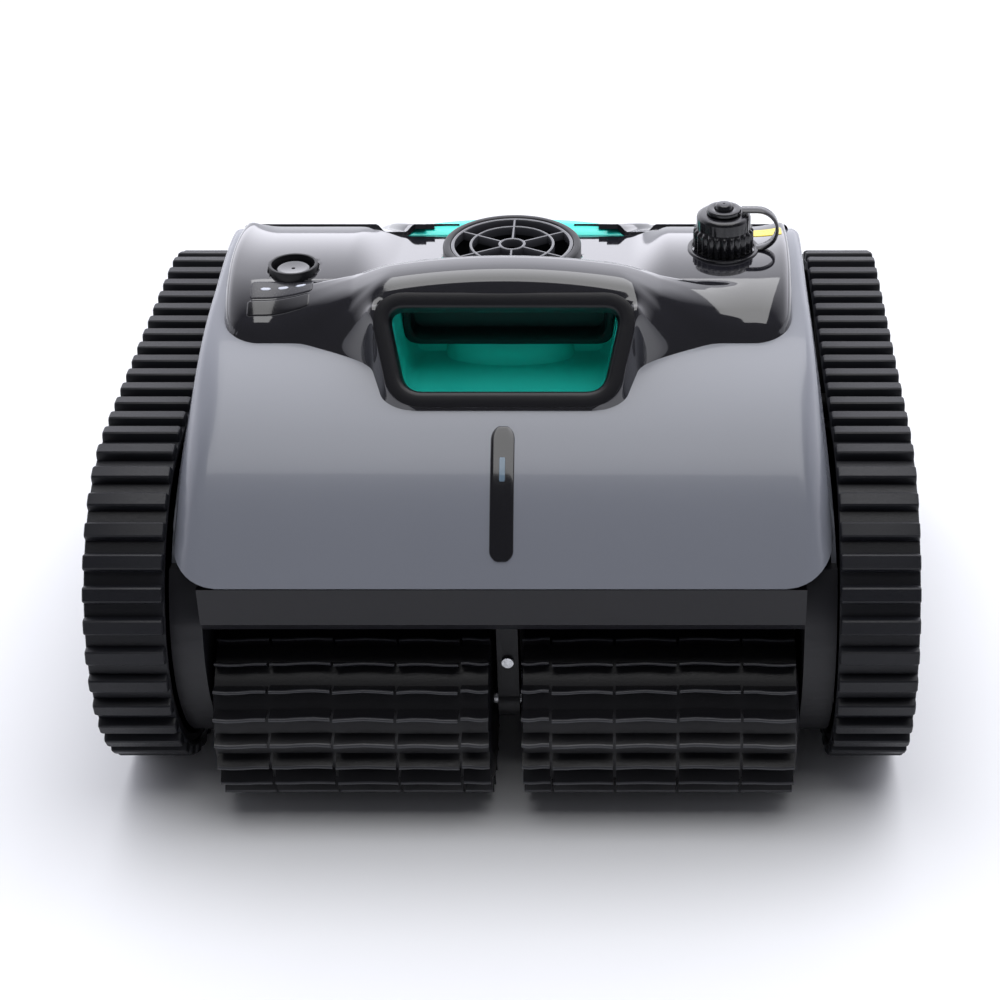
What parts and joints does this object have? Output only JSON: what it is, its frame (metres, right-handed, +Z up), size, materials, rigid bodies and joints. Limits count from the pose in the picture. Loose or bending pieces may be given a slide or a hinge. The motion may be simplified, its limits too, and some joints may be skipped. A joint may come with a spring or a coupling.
{
  "type": "robotic pool cleaner",
  "caption": "Tracked robot that crawls over a pool floor, with rubber brush rollers, a lift-up rear cover, a filter basket and a pump.",
  "frame": {"origin": "on the ground under the middle of the bounding box", "axes": "+X across the tracks to the right seen from the front, -Y towards the brushes at the front, +Z up"},
  "size_m": [0.41, 0.3776, 0.273],
  "materials": {
    "shell_grey": "high gloss moulded plastic",
    "gloss_black": "piano black moulded plastic",
    "satin_black": "fine textured moulded plastic",
    "rubber_black": "moulded rubber",
    "teal": "moulded plastic",
    "steel": "turned steel",
    "brass": "turned bronze and gold plate",
    "clear_plastic": "translucent moulded plastic",
    "mesh_screen": "woven nylon screen",
    "white_plastic": "acetal",
    "battery_blue": "shrink sleeve",
    "board_green": "solder mask",
    "label_dark": "printed film",
    "label_yellow": "printed film",
    "light_blue": "moulded light guide"
  },
  "bodies": {
    "root": {"chassis_tub": "satin_black", "front_shell": "shell_grey", "top_deck": "gloss_black", "handle_cup": "teal", "grip_liner": "gloss_black", "outlet_ring": "satin_black", "outlet_grille": "satin_black", "status_window": "gloss_black", "status_light": "light_blue", "control_label": "label_dark", "power_spring": "steel", "charge_port": "satin_black", "charge_pins": "brass", "cap_strap": "rubber_black", "warning_label": "label_yellow", "rear_louvres": "satin_black", "hinge_pins": "steel", "filter_basket": "clear_plastic", "filter_mesh": "mesh_screen", "pump_housing": "satin_black", "pump_motor": "steel", "battery_pack": "battery_blue", "control_board": "board_green", "drive_motor_left": "steel", "drive_motor_right": "steel", "track_belt_left": "rubber_black", "track_belt_right": "rubber_black", "wheel_axles": "steel", "side_cover_left": "satin_black", "side_cover_right": "satin_black", "side_cover_screws": "steel", "brush_bushes": "brass", "brush_bracket": "satin_black", "case_screws": "steel"},
    "power_button": {"power_button": "satin_black"},
    "hex_button": {"hex_button": "satin_black"},
    "cap_ring": {"cap_ring": "rubber_black"},
    "charge_cap": {"charge_cap": "rubber_black"},
    "rear_cover": {"rear_cover": "gloss_black", "cover_pull": "teal"},
    "inlet_flap_left": {"inlet_flap_left": "satin_black"},
    "inlet_flap_right": {"inlet_flap_right": "satin_black"},
    "impeller": {"impeller": "white_plastic"},
    "front_wheel_left": {"front_wheel_left": "satin_black", "front_hub_cap_left": "shell_grey"},
    "rear_wheel_left": {"rear_wheel_left": "satin_black", "rear_hub_cap_left": "shell_grey"},
    "drive_pinion_left": {"drive_pinion_left": "white_plastic"},
    "brush_left": {"brush_drive_left": "steel", "brush_core_left": "satin_black", "brush_sleeve_left": "rubber_black"},
    "front_wheel_right": {"front_wheel_right": "satin_black", "front_hub_cap_right": "shell_grey"},
    "rear_wheel_right": {"rear_wheel_right": "satin_black", "rear_hub_cap_right": "shell_grey"},
    "drive_pinion_right": {"drive_pinion_right": "white_plastic"},
    "brush_right": {"brush_drive_right": "steel", "brush_core_right": "satin_black", "brush_sleeve_right": "rubber_black"}
  },
  "joints": [
    {"name": "front_wheel_left_spin", "type": "hinge", "parent": "root", "child": "front_wheel_left", "pos_m": [-0.185, -0.0932, 0.092], "axis": [1, 0, 0], "continuous": true},
    {"name": "rear_wheel_left_spin", "type": "hinge", "parent": "root", "child": "rear_wheel_left", "pos_m": [-0.185, 0.0968, 0.092], "axis": [1, 0, 0], "continuous": true},
    {"name": "drive_pinion_left_spin", "type": "hinge", "parent": "root", "child": "drive_pinion_left", "pos_m": [-0.17, -0.0312, 0.092], "axis": [1, 0, 0], "continuous": true},
    {"name": "brush_left_spin", "type": "hinge", "parent": "root", "child": "brush_left", "pos_m": [-0.08, -0.1388, 0.05], "axis": [1, 0, 0], "continuous": true},
    {"name": "front_wheel_right_spin", "type": "hinge", "parent": "root", "child": "front_wheel_right", "pos_m": [0.185, -0.0932, 0.092], "axis": [1, 0, 0], "continuous": true},
    {"name": "rear_wheel_right_spin", "type": "hinge", "parent": "root", "child": "rear_wheel_right", "pos_m": [0.185, 0.0968, 0.092], "axis": [1, 0, 0], "continuous": true},
    {"name": "drive_pinion_right_spin", "type": "hinge", "parent": "root", "child": "drive_pinion_right", "pos_m": [0.17, -0.0312, 0.092], "axis": [1, 0, 0], "continuous": true},
    {"name": "brush_right_spin", "type": "hinge", "parent": "root", "child": "brush_right", "pos_m": [0.08, -0.1388, 0.05], "axis": [1, 0, 0], "continuous": true},
    {"name": "rear_cover_hinge", "type": "hinge", "parent": "root", "child": "rear_cover", "pos_m": [0, 0.184, 0.1004], "axis": [-1, 0, 0], "range_deg": [0, 85]},
    {"name": "power_button_press", "type": "slide", "parent": "root", "child": "power_button", "axis": [0, 0, -1], "range_m": [0, 0.0015], "stiffness_N_per_m": 400, "springref_m": -0.003, "deforming": ["power_spring"]},
    {"name": "hex_button_press", "type": "slide", "parent": "root", "child": "hex_button", "axis": [0, -1, 0], "range_m": [0, 0.002], "stiffness_N_per_m": 400, "springref_m": -0.003},
    {"name": "cap_lift", "type": "slide", "parent": "root", "child": "cap_ring", "axis": [0, 0, 1], "range_m": [0, 0.03], "deforming": ["cap_strap"]},
    {"name": "cap_turn", "type": "hinge", "parent": "cap_ring", "child": "charge_cap", "pos_m": [0.111, -0.0142, 0.26], "axis": [0, 0, 1], "continuous": true},
    {"name": "inlet_flap_left_swing", "type": "hinge", "parent": "root", "child": "inlet_flap_left", "pos_m": [-0.065, 0.0638, 0.0326], "axis": [1, 0, 0], "range_deg": [0, 60]},
    {"name": "inlet_flap_right_swing", "type": "hinge", "parent": "root", "child": "inlet_flap_right", "pos_m": [0.065, 0.0638, 0.0326], "axis": [1, 0, 0], "range_deg": [0, 60]},
    {"name": "impeller_spin", "type": "hinge", "parent": "root", "child": "impeller", "pos_m": [0, -0.0022, 0.21], "axis": [0, 0, 1], "continuous": true}
  ],
  "couplings": [
    {"joint": "rear_wheel_left_spin", "follows": "front_wheel_left_spin", "ratio": 1},
    {"joint": "drive_pinion_left_spin", "follows": "front_wheel_left_spin", "ratio": 4.875},
    {"joint": "brush_left_spin", "follows": "front_wheel_left_spin", "ratio": 4.875},
    {"joint": "rear_wheel_right_spin", "follows": "front_wheel_right_spin", "ratio": 1},
    {"joint": "drive_pinion_right_spin", "follows": "front_wheel_right_spin", "ratio": 4.875},
    {"joint": "brush_right_spin", "follows": "front_wheel_right_spin", "ratio": 4.875}
  ]
}
